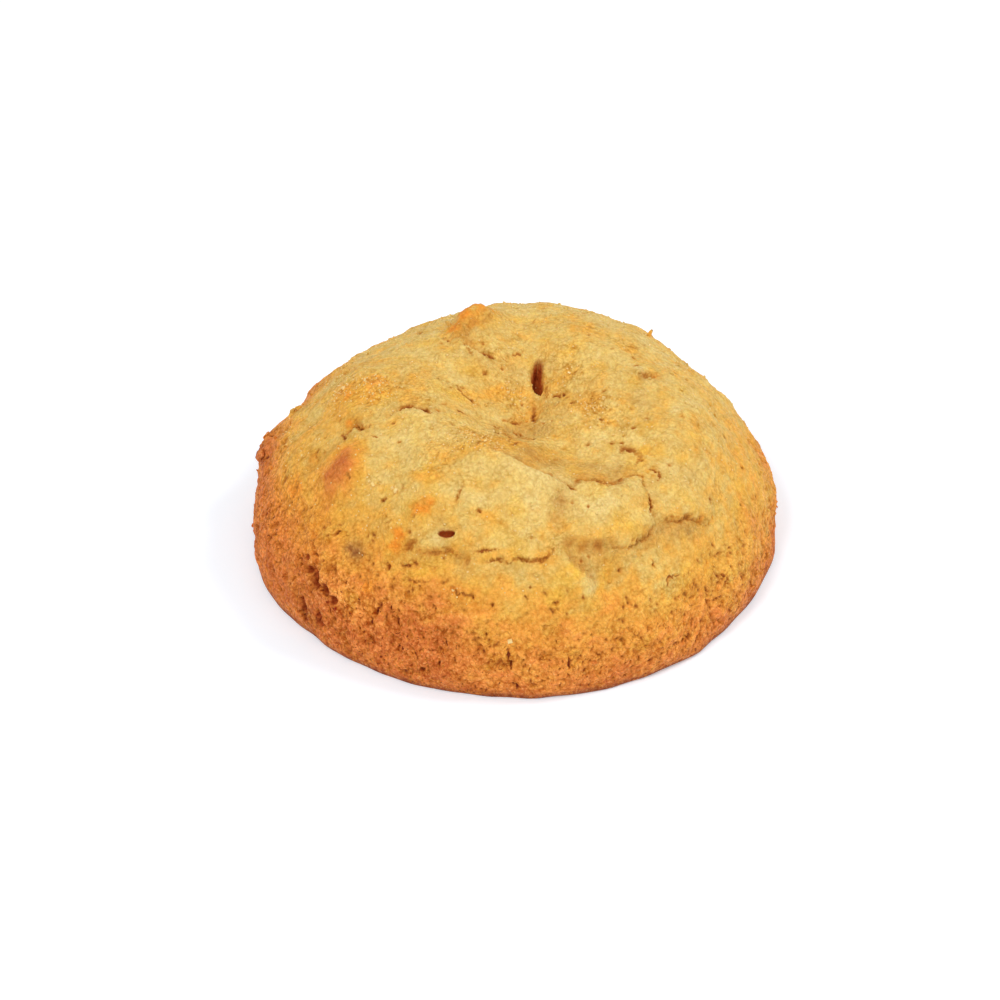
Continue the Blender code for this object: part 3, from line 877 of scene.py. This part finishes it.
class Nodes:
    """Short ways to add nodes to a new material."""

    def __init__(self, name):
        self.material = bpy.data.materials.new(name)
        self.material.use_nodes = True
        self.tree = self.material.node_tree
        self.shader = self.tree.nodes["Principled BSDF"]
        self.place = self.tree.nodes.new("ShaderNodeTexCoord").outputs["Object"]

    def feed(self, node, inputs):
        """Set or join each named or numbered input."""
        for name, value in inputs.items():
            if isinstance(value, bpy.types.NodeSocket):
                self.tree.links.new(value, node.inputs[name])
            else:
                node.inputs[name].default_value = value

    def add(self, kind, inputs, **settings):
        node = self.tree.nodes.new("ShaderNode" + kind)
        for name, value in settings.items():
            setattr(node, name, value)
        self.feed(node, inputs)
        return node

    def mask(self, name):
        return self.add("Attribute", {}, attribute_name=name).outputs["Fac"]

    def noise(self, length, detail=3.0, roughness=0.6, distortion=0.0):
        inputs = {"Scale": 1 / length, "Detail": detail, "Roughness": roughness, "Distortion": distortion}
        return self.add("TexNoise", inputs | {"Vector": self.place}).outputs["Fac"]

    def sums(self, operation, *values):
        return self.add("Math", dict(enumerate(values)), operation=operation).outputs[0]

    def mapped(self, value, low, high, new_low, new_high):
        inputs = {"Value": value, "From Min": low, "From Max": high, "To Min": new_low, "To Max": new_high}
        return self.add("MapRange", inputs).outputs["Result"]

    def ramp(self, value, stops):
        node = self.add("ValToRGB", {"Fac": value})
        elements = node.color_ramp.elements
        while len(elements) < len(stops):
            elements.new(1.0)
        for element, (position, colour) in zip(elements, stops):
            element.position = position
            element.color = linear(colour)
        return node.outputs["Color"]

    def mixed(self, share, *colours):
        """Two colours mixed, by the mix node's colour inputs, 6 and 7, and its colour output, 2."""
        first, second = (linear(colour) if isinstance(colour, tuple) else colour for colour in colours)
        return self.add("Mix", {"Factor": share, 6: first, 7: second}, data_type="RGBA").outputs[2]

    def lit_and_shaded(self, colour, amount):
        """The colour with painted light, lighter and yellower, for an amount above 0, and painted shade,
        darker and browner, for one below 0.
        """
        inputs = {0: amount, 1: LIGHT_AND_SHADE_TINTS, 2: (1.0, 1.0, 1.0)}
        factors = self.add("VectorMath", inputs, operation="MULTIPLY_ADD")
        return self.add("VectorMath", {0: colour, 1: factors.outputs[0]}, operation="MULTIPLY").outputs[0]

    def warped(self, length, amount):
        """The place moved about by noise."""
        noise = self.add("TexNoise", {"Vector": self.place, "Scale": 1 / length, "Detail": 2.0})
        inputs = {0: noise.outputs["Color"], 1: (amount, amount, amount), 2: self.place}
        return self.add("VectorMath", inputs, operation="MULTIPLY_ADD").outputs["Vector"]

    def cells(self, length, feature, place):
        inputs = {"Vector": place, "Scale": 1 / length}
        return self.add("TexVoronoi", inputs, feature=feature).outputs["Distance"]

    def by_side(self, top, side):
        """One value on the top, another on the sides."""
        return self.mapped(self.mask("side"), 0.0, 1.0, top, side)

    def swayed(self, noise, low, high):
        """Noise brought from its usual range to the new one."""
        return self.mapped(noise, *NOISE_RANGE, low, high)

    def bump(self, heights):
        """A normal bumped by the sum of heights, each (value, millimetres for a value of 1)."""
        total = 0.0
        for value, size in heights:
            total = self.sums("MULTIPLY_ADD", value, size, total)
        inputs = {"Strength": 1.0, "Distance": MM, "Height": total}
        return self.add("Bump", inputs).outputs["Normal"]


def crust_material():
    """Baked dough: golden to brown by its masks, mottled, sandy and finely cracked, with painted light and
    shade.
    """
    n = Nodes("golden_crust")
    side = n.mask("side")
    grainy = n.mask("grainy")
    wandering = n.warped(1.4 * MM, 1.2 * MM)
    grain = n.noise(SAND, 4, 0.7)
    granules = n.cells(GRANULES, "F1", wandering)
    fine = n.noise(DUST, 2)
    speckle = n.noise(SPECKS, 2, distortion=0.6)

    edges = n.mapped(n.cells(HAIRLINE_CELLS, "DISTANCE_TO_EDGE", wandering), 0.0, 0.05, 1.0, 0.0)
    broken = n.mapped(grain, 0.50, 0.58, 0.0, 1.0)
    hairlines = n.sums("MULTIPLY", n.sums("MULTIPLY", edges, broken), n.by_side(0.12, 0.55))
    speckled = n.sums("MULTIPLY_ADD", grainy, 0.4, n.by_side(0.04, 0.78))
    specks = n.sums("MULTIPLY", n.mapped(speckle, 0.61, 0.69, 0.0, 1.0), speckled)
    glints = n.sums("MULTIPLY", n.mapped(fine, 0.42, 0.30, 0.0, 0.28), n.by_side(0.6, 1.0))

    patchy = n.noise(BLOTCHES, 3, 0.55)
    level = n.sums("ADD", n.mask("brown"), n.swayed(patchy, -0.09, 0.09))
    level = n.sums("MULTIPLY_ADD", grainy, 0.16, level)
    colour = n.ramp(level, BROWNING_COLOURS)
    colour = n.mixed(n.sums("MULTIPLY", n.mask("yellow"), n.by_side(0.7, 0.2)), colour, YELLOW)
    # Painted shade in hollows and beside folds, and one stain
    colour = n.mixed(n.sums("MULTIPLY", n.mask("tan"), 0.8), colour, SHADED_TAN)
    blotches = n.mapped(patchy, 0.40, 0.60, 0.6, 1.0)
    warm = n.sums("MULTIPLY", n.mask("orange"), blotches)
    colour = n.mixed(n.mapped(warm, 0.0, 0.45, 0.0, 0.7), colour, n.mixed(side, SUNNY, ORANGE))
    colour = n.mixed(n.mapped(warm, 0.35, 1.0, 0.0, 1.0), colour, ORANGE)
    # Browning and painted shade just above the floor
    colour = n.mixed(n.sums("MULTIPLY", n.mask("foot"), 0.9), colour, FOOT_BROWN_AND_SHADE)
    colour = n.mixed(glints, colour, PALE_DOUGH)
    # Painted shade, with browning, in folds, hairline cracks and pore specks
    crease = n.sums("MAXIMUM", n.sums("MAXIMUM", n.mask("crease"), hairlines), specks)
    colour = n.mixed(n.mapped(crease, 0.05, 0.5, 0.0, 0.9), colour, n.mixed(side, TOP_BROWN_SHADED_CREASE, BROWN_SHADED_CREASE))
    colour = n.mixed(n.mapped(crease, 0.45, 0.95, 0.0, 1.0), colour, n.mixed(side, TOP_BROWN_SHADED_CREVICE, BROWN_SHADED_CREVICE))
    colour = n.mixed(n.mask("stain"), colour, STAIN_BROWN)
    # Browning and painted shade inside the openings
    colour = n.mixed(n.mask("hole"), colour, HOLE_BROWN_AND_SHADE)
    # Painted light on the grain's rises and painted shade in its dips, with some random blotchy tone
    relief_light_and_shade = n.sums("ADD", n.swayed(grain, -1.0, 1.0), n.mapped(granules, 0.1, 0.8, 1.0, -1.0))
    relief_light_and_shade = n.sums("ADD", relief_light_and_shade, n.swayed(fine, 0.35, -0.35))
    relief_light_and_shade = n.sums("ADD", relief_light_and_shade, n.swayed(patchy, -0.9, 0.9))
    contrast = n.sums("MULTIPLY_ADD", grainy, 0.12, n.by_side(0.13, 0.28))
    inputs = {
        "Base Color": n.lit_and_shaded(colour, n.sums("MULTIPLY", relief_light_and_shade, contrast)),
        "Roughness": n.swayed(grain, 0.80, 0.50),
        "Normal": n.bump([(grain, 0.28), (granules, -0.24), (fine, -0.06), (hairlines, -0.12)]),
        "Subsurface Weight": 0.15,
        "Subsurface Radius": (1.0, 0.5, 0.2),
        "Subsurface Scale": 0.4 * MM,
        "Specular IOR Level": 0.18,
    }
    n.feed(n.shader, inputs)
    return n.material


def sugar_material():
    """Fine sugar: pale, clear and shiny grains."""
    n = Nodes("fine_sugar")
    inputs = {
        "Base Color": n.mixed(n.noise(0.8 * MM), SUGAR, STRAW),
        "Roughness": n.swayed(n.noise(0.3 * MM), 0.12, 0.35),
        "Specular IOR Level": 0.5,
    }
    n.feed(n.shader, inputs)
    return n.material


def surface_normals(piece):
    """The piece's outward directions at its points."""
    normals = np.empty(len(piece.data.vertices) * 3, np.float32)
    piece.data.vertex_normals.foreach_get("vector", normals)
    return normals.reshape(-1, 3)


def nearest(plain, place):
    """The number of the skin's point nearest a place of the map."""
    return np.linalg.norm(plain - skin_places(place), axis=1).argmin()


def turned(shape, normal, random):
    """The shape's points, turned at random round the outward direction."""
    across = np.cross(normal, random.normal(size=3))
    across /= np.linalg.norm(across)
    return shape @ np.stack([across, np.cross(normal, across), normal])


def sugar_piece(points, plain, normals, masks, material):
    """Sugar grains: slightly skewed blocks, partly sunk in the crust."""
    random = np.random.default_rng(SEED + 1)
    weight = SUGAR_EVERYWHERE * smooth(plain[:, 2], *SUGAR_HEIGHTS) + spots(plain, SUGAR_SPOTS)
    weight = weight * (1 - masks["crease"])
    weight[plain[:, 2] < SUGAR_ABOVE] = 0
    scattered = picked(weight, SUGAR_GRAINS, random)
    places = [(nearest(plain, place), size * MM) for place, size in CRYSTALS]
    places += [(spot, random.uniform(*SUGAR_SIZES)) for spot in scattered]
    corners = np.array([(x, y, z) for z in (-0.5, 0.5) for y in (-0.5, 0.5) for x in (-0.5, 0.5)])
    grains = []
    faces = []
    for number, (spot, width) in enumerate(places):
        size = width * random.uniform(*GRAIN_WIDTHS, 3)
        shape = corners * size + random.normal(scale=GRAIN_SKEW, size=(8, 3)) * size
        tilt = normals[spot] + random.normal(scale=GRAIN_TILT, size=3)
        tilt /= np.linalg.norm(tilt)
        strayed = random.normal(scale=SUGAR_STRAYING, size=3)
        strayed -= normals[spot] * (strayed @ normals[spot])
        middle = points[spot] + strayed + normals[spot] * size[2] * STANDING_OUT
        grains.append(middle + turned(shape, tilt, random))
        faces += [tuple(8 * number + corner for corner in face) for face in BLOCK_FACES]
    piece = new_piece("sugar_grains", np.concatenate(grains), faces, {}, material)
    piece.data.shade_flat()


def ball_shape():
    """An eighty-sided ball's points and faces."""
    bm = bmesh.new()
    bmesh.ops.create_icosphere(bm, subdivisions=2, radius=0.5)
    points = np.array([vert.co for vert in bm.verts])
    faces = [[vert.index for vert in face.verts] for face in bm.faces]
    bm.free()
    return points, faces


def crumbs_piece(points, plain, normals, masks, material):
    """Crumbs and flakes stuck on the crust, coloured like the crust under them."""
    random = np.random.default_rng(SEED + 2)
    ball, ball_faces = ball_shape()
    places = [(nearest(plain, place), wide * MM, high * MM) for place, wide, high in NAMED_CRUMBS]
    weight = np.where(plain[:, 2] > CRUMBS_ABOVE, 1.0, 0.0) * (1 - masks["crease"])
    for spot in picked(weight, CRUMBS, random):
        size = random.uniform(*CRUMB_SIZES)
        places.append((spot, size, size * CRUMB_FLATNESS))
    crumbs = []
    faces = []
    crumb_masks = {name: [] for name in masks}
    for number, (spot, width, height) in enumerate(places):
        lumpy = 1 + CRUMB_LUMPINESS * ripple(ball + random.normal(size=3), CRUMB_LUMP, SEED + 3)
        shape = ball * lumpy[:, None] * (width, width, height) * random.uniform(*CRUMB_WIDTHS, 3)
        middle = points[spot] + normals[spot] * height * STANDING_OUT
        crumbs.append(middle + turned(shape, normals[spot], random))
        faces += [[len(ball) * number + corner for corner in face] for face in ball_faces]
        change = random.normal(scale=CRUMB_BROWNING)
        for name, values in masks.items():
            crumb_masks[name].append(np.full(len(ball), values[spot] + change * (name == "brown")))
    joined = {name: np.concatenate(values) for name, values in crumb_masks.items()}
    new_piece("stuck_crumbs", np.concatenate(crumbs), faces, joined, material)


def make_cookie():
    """The crust, with the sugar and crumbs on it."""
    bm = skin_map()
    right, back, _ = np.array([vert.co for vert in bm.verts]).T
    points, plain, masks = grown_skin(right, back)
    for vert, point in zip(bm.verts, points.tolist()):
        vert.co = point
    bmesh.ops.triangulate(bm, faces=bm.faces, quad_method="SHORT_EDGE")
    faces = [[vert.index for vert in face.verts] for face in bm.faces]
    bm.free()
    material = crust_material()
    crust = new_piece("baked_crust", *with_sole(points, faces, masks), material)
    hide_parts("cookie")
    normals = surface_normals(crust)
    sugar_piece(points, plain, normals, masks, sugar_material())
    crumbs_piece(points, plain, normals, masks, material)


def make_floor():
    """A plain pale floor just under the cookie."""
    mesh = bpy.data.meshes.new("floor")
    corners = [(x * FLOOR_REACH, y * FLOOR_REACH, 0) for x, y in ((-1, -1), (1, -1), (1, 1), (-1, 1))]
    mesh.from_pydata(corners, [], [(0, 1, 2, 3)])
    n = Nodes("pale_floor")
    pale = linear(FLOOR)
    n.feed(n.shader, {"Base Color": pale, "Emission Color": pale, "Emission Strength": FLOOR_GLOW})
    n.feed(n.shader, {"Roughness": 0.9, "Specular IOR Level": 0.1})
    mesh.materials.append(n.material)
    floor = bpy.data.objects.new("floor", mesh)
    bpy.context.scene.collection.objects.link(floor)
    floor.location.z = -FLOOR_GAP


def make_light():
    """Even light from all round, and two soft boxes."""
    world = bpy.data.worlds.new("soft_studio")
    bpy.context.scene.world = world
    world.use_nodes = True
    background = world.node_tree.nodes["Background"]
    background.inputs["Color"].default_value = (1.0, 1.0, 1.0, 1.0)
    background.inputs["Strength"].default_value = WORLD_LIGHT
    for place, power in SOFT_BOXES:
        lamp = bpy.data.lights.new("soft_box", "AREA")
        lamp.shape = "DISK"
        lamp.size = SOFT_BOX_WIDTH
        lamp.energy = power
        box = bpy.data.objects.new("soft_box", lamp)
        box.location = place
        box.rotation_euler = (-box.location).to_track_quat("-Z", "Y").to_euler()
        bpy.context.scene.collection.objects.link(box)


def make_camera():
    """The camera at the photograph's angle."""
    data = bpy.data.cameras.new("camera")
    data.lens = CAMERA_LENS
    camera = bpy.data.objects.new("camera", data)
    back = Vector((0, -math.cos(CAMERA_ELEVATION), math.sin(CAMERA_ELEVATION)))
    camera.location = Vector(CAMERA_TARGET) + back * CAMERA_DISTANCE
    camera.rotation_euler = (-back).to_track_quat("-Z", "Y").to_euler()
    bpy.context.scene.collection.objects.link(camera)
    bpy.context.scene.camera = camera
    bpy.context.scene.view_settings.view_transform = "Standard"


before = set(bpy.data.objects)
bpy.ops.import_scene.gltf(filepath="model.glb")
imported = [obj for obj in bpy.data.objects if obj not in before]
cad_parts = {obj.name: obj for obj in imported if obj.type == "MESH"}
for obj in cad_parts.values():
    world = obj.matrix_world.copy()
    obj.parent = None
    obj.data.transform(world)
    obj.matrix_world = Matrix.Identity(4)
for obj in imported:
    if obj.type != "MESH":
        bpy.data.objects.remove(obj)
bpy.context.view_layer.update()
make_cookie()
make_floor()
make_light()
make_camera()
